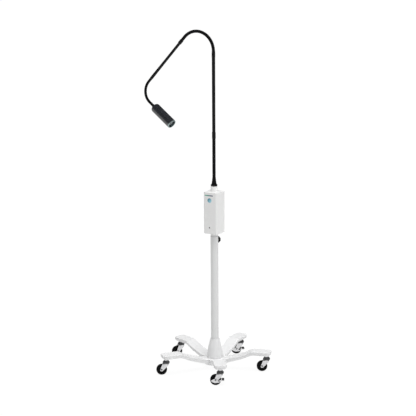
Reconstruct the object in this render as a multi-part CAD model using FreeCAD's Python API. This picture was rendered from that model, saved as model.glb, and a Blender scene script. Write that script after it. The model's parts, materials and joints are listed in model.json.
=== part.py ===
# Examination light with a jointed flexible neck on a five-caster stand. Millimetres.
# +Z is up and the origin is on the floor at the pole axis.
# The control box faces -Y and the neck reaches over to -X.
import FreeCAD, Part
import math
import os

V = FreeCAD.Vector
UP = V(0, 0, 1)
OUT = "parts"

# Base: one casting with five legs that rise from a low hub to flat pads
LEG_COUNT = 5
LEG_STEP_DEG = 360 / LEG_COUNT
FIRST_LEG_DEG = 36          # measured from the front, turning towards +X
LEG_WIDTH = 62
LEG_END_R = 284
LEG_END_CORNER_R = 18
LEG_CHAMFER = 7
LEG_TOP_ROUND = 2.5
HUB_R = 56
HUB_TOP_Z = 55.5
HUB_BOTTOM_Z = 27
PAD_TOP_Z = 102
PAD_BOTTOM_Z = 81.5
FOOT_BOLT_R = 6
FOOT_BOLT_TOP_Z = 76
FOOT_RECESS_R = 13
FOOT_RECESS_Z = 42

# Casters
STEM_RING_R = 262
CASTERS = ["front_right", "right", "back", "left", "front_left"]
TRAIL_DEG = {"front_right": 210, "right": 210, "back": 214, "left": 232, "front_left": 210}
BRAKED = ["front_right", "back"]
WHEEL_R = 26.5
TREAD_HALF = 10
CORE_R = 18
CORE_HALF = 8.5
WHEEL_HUB_R = 7.5
WHEEL_HUB_HALF = 11.5
TRAIL = 22.5
AXLE_R = 4
RUN_FIT = 0.06              # radial clearance of every shaft that turns in a bore
CHEEK_IN = 12
CHEEK_OUT = 14
LEVER_IN = 14.3
LEVER_OUT = 15.8
PEDAL_TIP_X = -19
PEDAL_BACK_X = -7
CROWN_R = 15
CROWN_BOTTOM_Z = 55.5
CROWN_TOP_Z = 58.5
STEM_R = 5
STEM_TOP_Z = 97
CAP_R = 16.6
CAP_TOP_R = 11.5
CAP_BOTTOM_Z = 59
CAP_TOP_Z = 73

# Pole
POLE_R = 19
POLE_WALL = 1.5
POLE_TOP_Z = 674.5
COLLAR_TOP_Z = 682.5
COLLAR_R = 17.9
SHROUD_TOP_Z = 153.5
MAST_R = 16
MAST_WALL = 1.5
MAST_BOTTOM_Z = 330
MAST_TOP_Z = 722
GLIDE_LENGTH = 15
CLAMP_Z = 652
CLAMP_BOSS_R = 9.5
CLAMP_BOSS_Y = 23.5
KNOB_R = 17
KNOB_START_Y = 24
KNOB_END_Y = 40.5
STUD_R = 3

# Control box
BOX_W = 76.5
BOX_D = 81
BOX_BOTTOM_Z = 692
BOX_TOP_Z = 899
BOX_CORNER_R = 9
BOX_EDGE_R = 2.5
BOX_WALL = 2.6
SEAM_Y = 27
SKIRT_R = 18.4             # the short round skirt under the box, which stops on the collar
SKIRT_BOTTOM_Z = 684.5
PANEL_X = -3                # the sensor, its recess and the indicator sit a little off the middle
RECESS_DEPTH = 0.9
RECESS_HALF = 14.5
RECESS_BOTTOM_Z = 775
RECESS_CORNER_R = 12
SENSOR_Z = 859
SENSOR_R = 11
INDICATOR_Z = 724
INDICATOR_R = 3.2
INLET_Z = 728
INLET_DEPTH = 15
SCREW_R = 1.5
SCREW_HEAD_R = 2.8
SCREW_HEAD_DEPTH = 3
GLAND_SPIGOT_R = 12
BOSS_HEIGHT = 26
NUT_HEIGHT = 9

# Neck: lengths along its centreline, radii, and how far the two curved stretches turn
BALL_R = 5.6
SOCKET_GAP = 0.3
SOCKET_START = 3.2          # a link's body starts this far after the joint that it hangs from
BODY_STOP = 3.5             # and stops this far before the joint that it carries
LOWER_JOINT_Z = 1050
FERRULE_JOINT_Z = 1154
FERRULE_TOP_Z = 1189
LOWER_TUBE_TOP_Z = 1578
MIDDLE_ARC_R = 92.7
MIDDLE_ARC_DEG = 137.1
MIDDLE_STRAIGHT = 21
COLLAR_LENGTH = 22.4
UPPER_TUBE_LENGTH = 241.4
HEAD_FLEX_LEAD = 24.5
HEAD_ARC_R = 66.2
HEAD_ARC_DEG = 99.1
HEAD_FLEX_TAIL = 31
HEAD_PLANE_TILT_DEG = 8.7   # the last bend leans towards the front of the stand
HEAD_SOCKET = 7             # from the last joint to the back face of the head
LOWER_FLEX_R = 8.1
MIDDLE_FLEX_R = 7.8
HEAD_FLEX_R = 6.8
LINKS = 3                   # links in each of the two curved stretches
TUBE_BORE_R = 5
LOWER_TUBE_R = 8
LOWER_TUBE_CUFF_R = 8.8
UPPER_TUBE_R = 6.9
UPPER_TUBE_END_R = 7.6
NECK_COLLAR_R = 9

# Lamp head
HEAD_R = 23.4
HEAD_LENGTH = 139
HEAD_RING_R = 23.2
HEAD_RING_LENGTH = 5.5
HEAD_WALL = 2
HEAD_SHOULDER_R = 11
LENS_APERTURE_R = 18.8


def cylinder(radius, start, direction, length):
    return Part.makeCylinder(radius, length, start, direction)


def tube(outer, inner, start, direction, length):
    return cylinder(outer, start, direction, length).cut(cylinder(inner, start, direction, length))


def block(x0, x1, y0, y1, z0, z1):
    return Part.makeBox(x1 - x0, y1 - y0, z1 - z0, V(x0, y0, z0))


def fused(first, *others):
    return first.multiFuse(list(others)).removeSplitter()


def revolved(points, axis_point=V(0, 0, 0), axis=UP):
    """A full turn of a closed outline."""
    return Part.Face(Part.makePolygon(points + [points[0]])).revolve(axis_point, axis, 360)


def prism(points, direction):
    return Part.Face(Part.makePolygon(points + [points[0]])).extrude(direction)


def rounded_line(points, radii):
    """Edges of a polyline whose inner corners are tangent arcs of the given radii."""
    edges = []
    start = points[0]
    for before, corner, after, radius in zip(points, points[1:], points[2:], radii):
        to_before = (before - corner).normalize()
        to_after = (after - corner).normalize()
        half = to_before.getAngle(to_after) / 2
        reach = radius / math.tan(half)
        middle = (to_before + to_after).normalize() * (radius / math.sin(half) - radius)
        first, last = corner + to_before * reach, corner + to_after * reach
        edges.append(Part.LineSegment(start, first).toShape())
        edges.append(Part.Arc(first, corner + middle, last).toShape())
        start = last
    edges.append(Part.LineSegment(start, points[-1]).toShape())
    return edges


def hexagon(across_flats, start, direction, length):
    """A hexagonal prism along +Z or -Z."""
    radius = across_flats / 2 / math.cos(math.pi / 6)
    corners = [start + V(radius * math.cos(math.radians(60 * k)), radius * math.sin(math.radians(60 * k)), 0)
               for k in range(6)]
    return prism(corners, direction * length)


def save(name, *solids):
    shape = solids[0] if len(solids) == 1 else Part.makeCompound(list(solids))
    shape.exportStep(os.path.join(OUT, name + ".step"))


# ---- base ----

def leg_direction(index):
    angle = math.radians(FIRST_LEG_DEG + LEG_STEP_DEG * index)
    return V(math.sin(angle), -math.cos(angle), 0)


def leg():
    """One leg along +X: its side outline, cut to a plan with rounded end corners, then chamfered below."""
    top = [V(0, 0, HUB_TOP_Z - 1), V(56, 0, HUB_TOP_Z), V(142, 0, 79), V(188, 0, PAD_TOP_Z - 1),
           V(LEG_END_R, 0, PAD_TOP_Z)]
    bottom = [V(LEG_END_R, 0, PAD_BOTTOM_Z), V(190, 0, PAD_BOTTOM_Z), V(142, 0, 59.5),
              V(50, 0, HUB_BOTTOM_Z + 4), V(0, 0, HUB_BOTTOM_Z)]
    edges = rounded_line(top, [80, 90, 30])
    edges.append(Part.LineSegment(top[-1], bottom[0]).toShape())
    edges += rounded_line(bottom, [50, 90, 80])
    edges.append(Part.LineSegment(bottom[-1], top[0]).toShape())
    side = Part.Face(Part.Wire(edges)).extrude(V(0, LEG_WIDTH, 0))
    side.translate(V(0, -LEG_WIDTH / 2, 0))
    plan = block(0, LEG_END_R, -LEG_WIDTH / 2, LEG_WIDTH / 2, 0, 120)
    corners = [e for e in plan.Edges if is_upright(e) and e.CenterOfMass.x > 1]
    solid = side.common(plan.makeFillet(LEG_END_CORNER_R, corners))
    solid = solid.makeChamfer(LEG_CHAMFER, rim_edges(solid, -1))
    return solid.makeFillet(LEG_TOP_ROUND, rim_edges(solid, 1))


def is_upright(edge):
    ends = [v.Point for v in edge.Vertexes]
    return len(ends) == 2 and abs(ends[0].x - ends[1].x) < 1e-6 and abs(ends[0].y - ends[1].y) < 1e-6


def rim_edges(solid, sign):
    """The edges where the underside (sign -1) or the top (sign +1) meets the leg's sides and end."""
    found = []
    for edge in solid.Edges:
        where = edge.CenterOfMass
        tilts = [f.normalAt(*f.Surface.parameter(where)).z for f in solid.ancestorsOfType(edge, Part.Face)]
        meets_side = min(abs(t) for t in tilts) < 0.05
        if meets_side and max(t * sign for t in tilts) > 0.6 and where.x > 1:
            found.append(edge)
    return found


def base_spider():
    hub = cylinder(HUB_R, V(0, 0, HUB_BOTTOM_Z), UP, HUB_TOP_Z - HUB_BOTTOM_Z)
    legs = []
    for index in range(LEG_COUNT):
        one = leg()
        along = leg_direction(index)
        one.rotate(V(0, 0, 0), UP, math.degrees(math.atan2(along.y, along.x)))
        legs.append(one)
    solid = fused(hub, *legs)
    solid = solid.cut(cylinder(FOOT_BOLT_R, V(0, 0, 0), UP, 100))
    solid = solid.cut(cylinder(FOOT_RECESS_R, V(0, 0, 0), UP, FOOT_RECESS_Z))
    for index in range(LEG_COUNT):
        solid = solid.cut(cylinder(STEM_R, leg_direction(index) * STEM_RING_R, UP, STEM_TOP_Z))
    return solid


def pole_foot_bolt():
    head = hexagon(19, V(0, 0, FOOT_RECESS_Z - 2), V(0, 0, -1), 7.5)
    shank = cylinder(FOOT_BOLT_R, V(0, 0, FOOT_RECESS_Z - 2), UP, FOOT_BOLT_TOP_Z - FOOT_RECESS_Z)
    washer = tube(12, FOOT_BOLT_R, V(0, 0, FOOT_RECESS_Z - 2), UP, 2)
    return fused(head, shank), washer


def hub_shroud():
    """A bell-shaped cover over the foot of the pole."""
    outer = [V(22.5, 0, SHROUD_TOP_Z), V(33.2, 0, 105), V(38.7, 0, HUB_TOP_Z)]
    inner = [V(36.5, 0, HUB_TOP_Z), V(31, 0, 104), V(POLE_R + 0.3, 0, SHROUD_TOP_Z)]
    wire = Part.Wire([Part.Arc(*outer).toShape(), Part.LineSegment(outer[2], inner[0]).toShape(),
                      Part.Arc(*inner).toShape(), Part.LineSegment(inner[2], outer[0]).toShape()])
    return Part.Face(wire).revolve(V(0, 0, 0), UP, 360)


def outer_pole():
    """The fixed pole tube with its welded foot plug and the threaded boss for the clamp knob."""
    wall = tube(POLE_R, POLE_R - POLE_WALL, V(0, 0, HUB_TOP_Z), UP, POLE_TOP_Z - HUB_TOP_Z)
    plug = cylinder(POLE_R - POLE_WALL, V(0, 0, HUB_TOP_Z), UP, 24)
    boss_start = POLE_R - POLE_WALL + 0.4
    boss = cylinder(CLAMP_BOSS_R, V(0, boss_start, CLAMP_Z), V(0, 1, 0), CLAMP_BOSS_Y - boss_start)
    boss = boss.cut(cylinder(POLE_R - 0.5, V(0, 0, HUB_TOP_Z), UP, POLE_TOP_Z))
    solid = fused(wall, plug, boss)
    solid = solid.cut(cylinder(STUD_R + RUN_FIT, V(0, 5, CLAMP_Z), V(0, 1, 0), 30))
    return solid.cut(cylinder(FOOT_BOLT_R, V(0, 0, 0), UP, FOOT_BOLT_TOP_Z))


def pole_collar():
    """The guide bush: a sleeve inside the outer pole under a visible flange."""
    bore = MAST_R + RUN_FIT
    sleeve = tube(POLE_R - POLE_WALL, bore, V(0, 0, POLE_TOP_Z - 42), UP, 42)
    flange = tube(COLLAR_R, bore, V(0, 0, POLE_TOP_Z), UP, COLLAR_TOP_Z - POLE_TOP_Z)
    solid = fused(sleeve, flange)
    return solid.cut(cylinder(STUD_R + 0.4, V(0, 5, CLAMP_Z), V(0, 1, 0), 30))


def clamp_knob():
    start, end = KNOB_START_Y, KNOB_END_Y
    outline = [V(0, start, 0), V(8, start, 0), V(8, start + 1.5, 0), V(KNOB_R - 1.5, start + 1.5, 0),
               V(KNOB_R, start + 3, 0), V(KNOB_R, start + 8, 0), V(KNOB_R - 2, end - 3, 0),
               V(KNOB_R - 6, end, 0), V(0, end, 0)]
    knob = revolved(outline, axis=V(0, 1, 0))
    knob.translate(V(0, 0, CLAMP_Z))
    return knob.cut(clamp_stud())


def clamp_stud():
    return cylinder(STUD_R, V(0, MAST_R + 0.35, CLAMP_Z), V(0, 1, 0), 16)


# ---- casters ----

def placed_caster(name, shape):
    """Moves a shape from the caster's own frame, where +X is the trailing direction, to its leg."""
    shape = shape.copy()
    shape.rotate(V(0, 0, 0), UP, TRAIL_DEG[name])
    shape.translate(leg_direction(CASTERS.index(name)) * STEM_RING_R)
    return shape


def caster_stem():
    rivet = cylinder(7.5, V(0, 0, CROWN_BOTTOM_Z - 3), UP, 2.7)
    pin = cylinder(STEM_R, V(0, 0, CROWN_BOTTOM_Z - 3), UP, STEM_TOP_Z - CROWN_BOTTOM_Z + 3)
    nut = hexagon(17, V(0, 0, CAP_TOP_Z), UP, PAD_BOTTOM_Z - CAP_TOP_Z)
    return fused(rivet, pin, nut)


def raceway_cap():
    """The dust cap over the swivel bearing: a cup with a sloping shoulder, open below."""
    shoulder_z = CAP_BOTTOM_Z + 6
    outline = [V(STEM_R, 0, CAP_TOP_Z), V(CAP_TOP_R - 1, 0, CAP_TOP_Z), V(CAP_TOP_R, 0, CAP_TOP_Z - 1),
               V(CAP_R - 0.6, 0, shoulder_z + 1.5), V(CAP_R, 0, shoulder_z), V(CAP_R, 0, CAP_BOTTOM_Z),
               V(CAP_R - 1.4, 0, CAP_BOTTOM_Z), V(CAP_R - 1.4, 0, shoulder_z),
               V(CAP_TOP_R - 1.2, 0, CAP_TOP_Z - 2.2), V(STEM_R, 0, CAP_TOP_Z - 2.2)]
    return revolved(outline)


def caster_fork():
    crown = cylinder(CROWN_R, V(0, 0, CROWN_BOTTOM_Z), UP, CROWN_TOP_Z - CROWN_BOTTOM_Z)
    bridge = block(-12, 18, -CHEEK_OUT, CHEEK_OUT, CROWN_BOTTOM_Z, CROWN_TOP_Z)
    raceway = Part.makeCone(13, 9.5, 9, V(0, 0, CROWN_TOP_Z), UP)
    outline = [V(-12, 0, CROWN_TOP_Z), V(18, 0, CROWN_TOP_Z), V(29, 0, WHEEL_R + 3), V(28, 0, WHEEL_R - 4),
               V(18, 0, WHEEL_R - 5.5), V(-12, 0, 50)]
    parts = [bridge, raceway]
    for start in (CHEEK_IN, -CHEEK_OUT):
        cheek = prism(outline, V(0, CHEEK_OUT - CHEEK_IN, 0))
        cheek.translate(V(0, start, 0))
        parts.append(cheek)
        parts.append(cylinder(7, V(TRAIL, start, WHEEL_R), V(0, 1, 0), CHEEK_OUT - CHEEK_IN))
    solid = fused(crown, *parts)
    solid = solid.cut(cylinder(AXLE_R, V(TRAIL, -20, WHEEL_R), V(0, 1, 0), 40))
    return solid.cut(cylinder(STEM_R + RUN_FIT, V(0, 0, 0), UP, CAP_TOP_Z))


def caster_axle(braked):
    grip = LEVER_OUT + 0.3 if braked else CHEEK_OUT
    shank = cylinder(AXLE_R, V(TRAIL, -grip, WHEEL_R), V(0, 1, 0), 2 * grip)
    heads = [cylinder(6.2, V(TRAIL, side * grip, WHEEL_R), V(0, side, 0), 2.5) for side in (-1, 1)]
    return fused(shank, *heads)


def wheel_core():
    bore = AXLE_R + RUN_FIT
    disc = tube(CORE_R, bore, V(TRAIL, -CORE_HALF, WHEEL_R), V(0, 1, 0), 2 * CORE_HALF)
    hub = tube(WHEEL_HUB_R, bore, V(TRAIL, -WHEEL_HUB_HALF, WHEEL_R), V(0, 1, 0), 2 * WHEEL_HUB_HALF)
    return fused(disc, hub)


def wheel_tyre():
    ring = tube(WHEEL_R, CORE_R, V(TRAIL, -TREAD_HALF, WHEEL_R), V(0, 1, 0), 2 * TREAD_HALF)
    shoulders = [e for e in ring.Edges if isinstance(e.Curve, Part.Circle) and e.Curve.Radius > CORE_R + 1]
    return ring.makeFillet(4, shoulders)


def brake_lever():
    """Two side arms pivoting on the axle, joined in front of the wheel by the foot pedal."""
    outline = [V(44, 0, 27), V(30, 0, 34), V(14, 0, 34.5), V(-6, 0, 30), V(PEDAL_TIP_X, 0, 27.5),
               V(PEDAL_TIP_X, 0, 24.5), V(-5, 0, 23), V(9, 0, 15), V(26, 0, 13.5), V(35, 0, 16), V(44, 0, 22)]
    parts = []
    for start in (LEVER_IN, -LEVER_OUT):
        arm = prism(outline, V(0, LEVER_OUT - LEVER_IN, 0))
        arm.translate(V(0, start, 0))
        parts.append(arm)
    pedal = block(PEDAL_TIP_X, PEDAL_BACK_X, -LEVER_OUT, LEVER_OUT, 25, 27)
    solid = fused(pedal, *parts)
    return solid.cut(cylinder(AXLE_R + RUN_FIT, V(TRAIL, -20, WHEEL_R), V(0, 1, 0), 40))


# ---- mast and control box ----

def inner_pole():
    """The sliding tube, with the glide ring on its foot that runs inside the fixed pole."""
    wall = tube(MAST_R, MAST_R - MAST_WALL, V(0, 0, MAST_BOTTOM_Z), UP, MAST_TOP_Z - MAST_BOTTOM_Z)
    glide = tube(POLE_R - POLE_WALL - RUN_FIT, MAST_R - MAST_WALL, V(0, 0, MAST_BOTTOM_Z), UP, GLIDE_LENGTH)
    return fused(wall, glide)


def pole_bracket():
    floor_z = BOX_BOTTOM_Z + BOX_WALL
    plate = block(-25, 25, -32, 23, floor_z, floor_z + 4)
    socket = cylinder(21, V(0, 0, floor_z), UP, MAST_TOP_Z - floor_z)
    return fused(plate, socket).cut(cylinder(MAST_R, V(0, 0, 0), UP, 800))


def box_body(inset, bottom_z, top_z):
    """The box's outline, or its inside when inset by the wall."""
    half_w, half_d = BOX_W / 2 - inset, BOX_D / 2 - inset
    solid = block(-half_w, half_w, -half_d, half_d, bottom_z, top_z)
    solid = solid.makeFillet(BOX_CORNER_R - inset, [e for e in solid.Edges if is_upright(e)])
    if inset:
        return solid
    rims = [e for e in solid.Edges if min(abs(e.CenterOfMass.z - z) for z in (top_z, bottom_z)) < 0.01]
    return solid.makeFillet(BOX_EDGE_R, rims)


def box_shell():
    inside = box_body(BOX_WALL, BOX_BOTTOM_Z + BOX_WALL, BOX_TOP_Z - BOX_WALL)
    return box_body(0, BOX_BOTTOM_Z, BOX_TOP_Z).cut(inside)


def pillar_points():
    side = BOX_W / 2 - 7.5
    return [(x, z) for x in (-side, side) for z in (BOX_BOTTOM_Z + 9.5, BOX_TOP_Z - 9.5)]


def recess():
    """The shallow round-cornered panel in the front face, with the sensor at its top."""
    front = -BOX_D / 2
    panel = block(PANEL_X - RECESS_HALF, PANEL_X + RECESS_HALF, front - 1, front + RECESS_DEPTH,
                  RECESS_BOTTOM_Z, SENSOR_Z + RECESS_HALF)
    corners = [e for e in panel.Edges if abs(e.Length - 1 - RECESS_DEPTH) < 1e-6]
    return panel.makeFillet(RECESS_CORNER_R, corners)


def front_housing():
    solid = box_shell().common(block(-50, 50, -50, SEAM_Y, 600, 1000))
    pillar_start = BOX_WALL - 0.2 - BOX_D / 2
    pillars = [cylinder(4, V(x, pillar_start, z), V(0, 1, 0), SEAM_Y - pillar_start)
               for x, z in pillar_points()]
    skirt = tube(SKIRT_R, MAST_R + 0.3, V(0, 0, SKIRT_BOTTOM_Z), UP, BOX_BOTTOM_Z + 1 - SKIRT_BOTTOM_Z)
    solid = fused(solid, skirt, *pillars).cut(recess())
    for x, z in pillar_points():
        solid = solid.cut(cylinder(SCREW_R, V(x, SEAM_Y - 12, z), V(0, 1, 0), 12))
    solid = solid.cut(cylinder(SENSOR_R, V(PANEL_X, -BOX_D / 2, SENSOR_Z), V(0, 1, 0), 4))
    solid = solid.cut(cylinder(INDICATOR_R, V(PANEL_X, -BOX_D / 2, INDICATOR_Z), V(0, 1, 0), 4))
    solid = solid.cut(cylinder(MAST_R + 0.3, V(0, 0, SKIRT_BOTTOM_Z), UP, 12))
    return solid.cut(cylinder(GLAND_SPIGOT_R, V(0, 0, BOX_TOP_Z - 4), UP, 5))


def back_cover():
    solid = box_shell().common(block(-50, 50, SEAM_Y, 50, 600, 1000))
    back = BOX_D / 2
    for x, z in pillar_points():
        post = cylinder(4, V(x, SEAM_Y, z), V(0, 1, 0), back - SEAM_Y - 1)
        solid = fused(solid, post)
    for x, z in pillar_points():
        solid = solid.cut(cylinder(SCREW_R, V(x, SEAM_Y, z), V(0, 1, 0), 30))
        solid = solid.cut(cylinder(SCREW_HEAD_R + 0.3, V(x, back - SCREW_HEAD_DEPTH, z), V(0, 1, 0), 10))
    return solid.cut(block(-13.6, 13.6, back - 5, back + 5, INLET_Z - 9.9, INLET_Z + 9.9))


def cover_screws():
    screws = []
    head_y = BOX_D / 2 - SCREW_HEAD_DEPTH
    for x, z in pillar_points():
        shank = cylinder(SCREW_R, V(x, SEAM_Y - 10, z), V(0, 1, 0), head_y - SEAM_Y + 10)
        head = cylinder(SCREW_HEAD_R, V(x, head_y, z), V(0, 1, 0), 2)
        drive = cylinder(1.1, V(x, head_y + 0.8, z), V(0, 1, 0), 2)
        screws.append(fused(shank, head).cut(drive))
    return screws


def sensor_window():
    front = -BOX_D / 2
    return cylinder(SENSOR_R, V(PANEL_X, front + 0.2, SENSOR_Z), V(0, 1, 0), 3.3)


def indicator_lens():
    front = -BOX_D / 2
    return cylinder(INDICATOR_R, V(PANEL_X, front - 0.3, INDICATOR_Z), V(0, 1, 0), 4)


def control_board():
    """The printed board with the sensor can, the indicator lamp and a few low parts."""
    face = 8 - BOX_D / 2
    back = face + 1.6
    board = block(-25, 25, face, back, 716, 874)
    sensor = cylinder(7, V(PANEL_X, face - 4.2, SENSOR_Z), V(0, 1, 0), 4.2)
    lamp = cylinder(1.7, V(PANEL_X, face - 3.9, INDICATOR_Z), V(0, 1, 0), 3.9)
    relay = block(-20, -2, back, back + 14, 800, 828)
    connector = block(4, 20, back, back + 10, 780, 790)
    return fused(board, sensor, lamp, relay, connector)


def power_supply():
    body = block(-23, 23, -12, 25, 765, 848)
    rims = [e for e in body.Edges if is_upright(e)]
    feet = [block(-6, 6, 25, BOX_D / 2 - BOX_WALL, z, z + 6) for z in (770, 836)]
    return fused(body.makeFillet(2, rims), *feet)


def mains_inlet():
    """A three-pin appliance inlet set in the back cover."""
    back = BOX_D / 2
    flange = block(-15.4, 15.4, back, back + 2, INLET_Z - 11.6, INLET_Z + 11.6)
    flange = flange.makeFillet(2.5, [e for e in flange.Edges if abs(e.Length - 2) < 1e-6])
    body = block(-13.4, 13.4, back - INLET_DEPTH - 2, back, INLET_Z - 9.7, INLET_Z + 9.7)
    cavity = block(-12.2, 12.2, back - INLET_DEPTH, back + 5, INLET_Z - 8.1, INLET_Z + 8.1)
    pins = [block(x - 1, x + 1, back - INLET_DEPTH, back - INLET_DEPTH + 7.5, z - 2, z + 2)
            for x, z in ((-7, INLET_Z - 2), (7, INLET_Z - 2), (0, INLET_Z + 2))]
    return fused(fused(flange, body).cut(cavity), *pins)


def top_boss():
    top = BOX_TOP_Z + BOSS_HEIGHT
    outline = [V(8, 0, BOX_TOP_Z), V(18.5, 0, BOX_TOP_Z), V(17.5, 0, BOX_TOP_Z + 3), V(17, 0, top - 2),
               V(15, 0, top), V(8, 0, top)]
    spigot = tube(GLAND_SPIGOT_R, 8, V(0, 0, BOX_TOP_Z - 9), UP, 9)
    return fused(revolved(outline), spigot)


def gland_nut():
    bottom = BOX_TOP_Z + BOSS_HEIGHT
    top = bottom + NUT_HEIGHT
    outline = [V(7, 0, bottom), V(14.5, 0, bottom), V(16.4, 0, bottom + 2), V(16.4, 0, top - 2.5),
               V(14.2, 0, top), V(7, 0, top)]
    return revolved(outline)


def strain_relief():
    """The flared rubber boot, which ends in the ball that the neck's first link swivels on."""
    bottom = BOX_TOP_Z + BOSS_HEIGHT + NUT_HEIGHT
    top = LOWER_JOINT_Z - BODY_STOP
    outline = [V(0, 0, bottom), V(12.4, 0, bottom), V(11.8, 0, bottom + 5), V(9.6, 0, bottom + 22),
               V(8.8, 0, bottom + 28), V(LOWER_FLEX_R + 0.3, 0, bottom + 34),
               V(LOWER_FLEX_R + 0.3, 0, top - 1), V(LOWER_FLEX_R - 0.2, 0, top), V(0, 0, top)]
    return fused(revolved(outline), joint_ball(V(0, 0, LOWER_JOINT_Z), UP))


# ---- neck ----

def joint_ball(centre, direction):
    """The ball end of a link, and the short neck that carries it."""
    neck_start = centre - direction * (BODY_STOP + 2)
    return fused(cylinder(BALL_R, neck_start, direction, BODY_STOP + 2), Part.makeSphere(BALL_R, centre))


def joint_socket(centre):
    return Part.makeSphere(BALL_R + SOCKET_GAP, centre)


class Run:
    """A place on the neck's centreline, its direction, and the side that it bends towards."""

    def __init__(self, place, direction, side):
        self.place, self.direction, self.side = place, direction, side

    def ahead(self, length):
        return Run(self.place + self.direction * length, self.direction, self.side)

    def turned(self, radius, angle):
        centre = self.place + self.side * radius
        out = self.side * -math.cos(angle) + self.direction * math.sin(angle)
        direction = self.direction * math.cos(angle) + self.side * math.sin(angle)
        return Run(centre + out * radius, direction, out * -1)

    def axis(self):
        return self.direction.cross(self.side)


def straight_body(run, radius, length):
    return cylinder(radius, run.place, run.direction, length)


def arc_body(run, radius, arc_r, angle):
    disc = Part.Face(Part.Wire(Part.makeCircle(radius, run.place, run.direction)))
    return disc.revolve(run.place + run.side * arc_r, run.axis(), math.degrees(angle))


def stretch(start, lead, arc_r, turn, tail):
    """A function from a length along a line-arc-line stretch to the Run there, and its whole length."""
    arc_length = arc_r * turn
    whole = lead + arc_length + tail

    def at(length):
        on_arc = min(max(length - lead, 0), arc_length)
        run = start.ahead(min(length, lead)).turned(arc_r, on_arc / arc_r)
        return run.ahead(max(length - lead - arc_length, 0))

    return at, whole


def link(at, first, last, radius, lead, arc_r, turn):
    """A curved link between two joints, with a socket at its first and a ball at its last."""
    begin, end = first + SOCKET_START, last - BODY_STOP
    arc_begin, arc_end = lead, lead + arc_r * turn
    pieces = []
    if begin < arc_begin:
        pieces.append(straight_body(at(begin), radius, min(end, arc_begin) - begin))
    if begin < arc_end and end > arc_begin:
        low, high = max(begin, arc_begin), min(end, arc_end)
        pieces.append(arc_body(at(low), radius, arc_r, (high - low) / arc_r))
    if end > arc_end:
        pieces.append(straight_body(at(max(begin, arc_end)), radius, end - max(begin, arc_end)))
    pieces.append(joint_ball(at(last).place, at(last).direction))
    return fused(*pieces).cut(joint_socket(at(first).place))


def neck_start():
    return Run(V(0, 0, LOWER_TUBE_TOP_Z), UP, V(-1, 0, 0))


def middle_stretch():
    return stretch(neck_start(), 0, MIDDLE_ARC_R, math.radians(MIDDLE_ARC_DEG), MIDDLE_STRAIGHT)


def upper_tube_run():
    at, whole = middle_stretch()
    return at(whole)


def head_stretch():
    start = upper_tube_run().ahead(COLLAR_LENGTH + UPPER_TUBE_LENGTH)
    tilt = math.radians(HEAD_PLANE_TILT_DEG)
    side = start.side * math.cos(tilt) + V(0, -1, 0) * math.sin(tilt)
    leaning = Run(start.place, start.direction, side)
    return stretch(leaning, HEAD_FLEX_LEAD, HEAD_ARC_R, math.radians(HEAD_ARC_DEG), HEAD_FLEX_TAIL)


def lower_flex():
    body = cylinder(LOWER_FLEX_R, V(0, 0, LOWER_JOINT_Z + SOCKET_START), UP,
                    FERRULE_JOINT_Z - LOWER_JOINT_Z - SOCKET_START - BODY_STOP)
    solid = fused(body, joint_ball(V(0, 0, FERRULE_JOINT_Z), UP))
    return solid.cut(joint_socket(V(0, 0, LOWER_JOINT_Z)))


def ferrule():
    start = FERRULE_JOINT_Z + SOCKET_START
    outline = [V(TUBE_BORE_R, 0, start), V(8.5, 0, start), V(9.2, 0, start + 2), V(9.2, 0, FERRULE_TOP_Z - 1),
               V(8.5, 0, FERRULE_TOP_Z), V(TUBE_BORE_R, 0, FERRULE_TOP_Z)]
    return revolved(outline).cut(joint_socket(V(0, 0, FERRULE_JOINT_Z)))


def lower_tube():
    top = LOWER_TUBE_TOP_Z - BODY_STOP
    outline = [V(0, 0, FERRULE_TOP_Z), V(LOWER_TUBE_R, 0, FERRULE_TOP_Z), V(LOWER_TUBE_R + 0.3, 0, top - 26),
               V(LOWER_TUBE_CUFF_R, 0, top - 24), V(LOWER_TUBE_CUFF_R, 0, top - 1),
               V(LOWER_TUBE_CUFF_R - 0.7, 0, top), V(0, 0, top)]
    bore = cylinder(TUBE_BORE_R, V(0, 0, FERRULE_TOP_Z), UP, top - 12 - FERRULE_TOP_Z)
    return fused(revolved(outline), joint_ball(V(0, 0, LOWER_TUBE_TOP_Z), UP)).cut(bore)


def middle_flex(index):
    at, whole = middle_stretch()
    step = whole / LINKS
    return link(at, index * step, (index + 1) * step, MIDDLE_FLEX_R, 0, MIDDLE_ARC_R,
                math.radians(MIDDLE_ARC_DEG))


def head_flex(index):
    at, whole = head_stretch()
    step = whole / LINKS
    return link(at, index * step, (index + 1) * step, HEAD_FLEX_R, HEAD_FLEX_LEAD, HEAD_ARC_R,
                math.radians(HEAD_ARC_DEG))


def neck_collar():
    run = upper_tube_run()
    body = straight_body(run.ahead(SOCKET_START), NECK_COLLAR_R, COLLAR_LENGTH - SOCKET_START)
    return body.cut(joint_socket(run.place))


def upper_tube():
    start = upper_tube_run().ahead(COLLAR_LENGTH)
    half = UPPER_TUBE_LENGTH / 2
    wall = straight_body(start, UPPER_TUBE_R, half)
    middle = start.ahead(half).place
    wide = Part.makeCone(UPPER_TUBE_R, UPPER_TUBE_END_R, half - BODY_STOP, middle, start.direction)
    ball = joint_ball(start.ahead(UPPER_TUBE_LENGTH).place, start.direction)
    bore = straight_body(start, 4.6, UPPER_TUBE_LENGTH - 14)
    return fused(wall, wide, ball).cut(bore)


# ---- lamp head, built along +X and then swung onto the end of the neck ----

def placed_head(shape):
    at, whole = head_stretch()
    run = at(whole)
    shape = shape.copy()
    back = run.ahead(HEAD_SOCKET).place
    shape.Placement = FreeCAD.Placement(back, FreeCAD.Rotation(V(1, 0, 0), run.direction))
    return shape


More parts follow.
